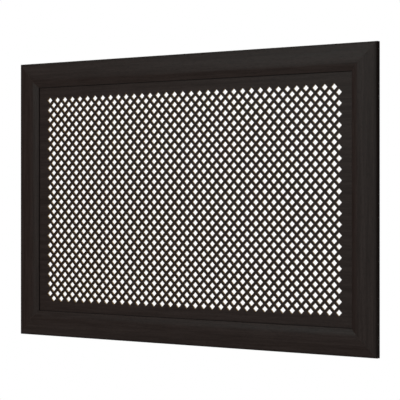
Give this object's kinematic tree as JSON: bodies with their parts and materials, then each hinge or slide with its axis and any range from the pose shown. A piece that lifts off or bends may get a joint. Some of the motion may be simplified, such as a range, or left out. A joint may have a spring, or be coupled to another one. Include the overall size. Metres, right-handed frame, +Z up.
{
  "type": "radiator cover screen",
  "caption": "Flat radiator screen: mitred dark wood-grain frame round a thin panel perforated with diamond holes, with hanging hooks on its back.",
  "frame": {"origin": "on the middle of the bottom rail's outer edge face, 4 mm in front of the frame's flat back", "axes": "+X to the right seen from the front, +Y backwards to the radiator, +Z up; the face looks along -Y"},
  "size_m": [0.9, 0.0453, 0.6],
  "materials": {
    "frame_film": "satin dark wood-grain film on moulded fibreboard",
    "panel_film": "satin dark film on thin perforated fibreboard",
    "plate_zinc": "bright zinc plate",
    "screw_zinc": "yellow zinc plate"
  },
  "bodies": {
    "root": {"bottom_left_corner_plate": "plate_zinc", "bottom_left_plate_screw_1": "screw_zinc", "bottom_left_plate_screw_2": "screw_zinc", "bottom_left_plate_screw_3": "screw_zinc", "bottom_left_plate_screw_4": "screw_zinc", "bottom_rail": "frame_film", "bottom_right_corner_plate": "plate_zinc", "bottom_right_plate_screw_1": "screw_zinc", "bottom_right_plate_screw_2": "screw_zinc", "bottom_right_plate_screw_3": "screw_zinc", "bottom_right_plate_screw_4": "screw_zinc", "left_hook": "plate_zinc", "left_hook_lower_screw": "screw_zinc", "left_hook_upper_screw": "screw_zinc", "left_stile": "frame_film", "perforated_panel": "panel_film", "right_hook": "plate_zinc", "right_hook_lower_screw": "screw_zinc", "right_hook_upper_screw": "screw_zinc", "right_stile": "frame_film", "top_left_corner_plate": "plate_zinc", "top_left_plate_screw_1": "screw_zinc", "top_left_plate_screw_2": "screw_zinc", "top_left_plate_screw_3": "screw_zinc", "top_left_plate_screw_4": "screw_zinc", "top_rail": "frame_film", "top_right_corner_plate": "plate_zinc", "top_right_plate_screw_1": "screw_zinc", "top_right_plate_screw_2": "screw_zinc", "top_right_plate_screw_3": "screw_zinc", "top_right_plate_screw_4": "screw_zinc"}
  },
  "joints": []
}
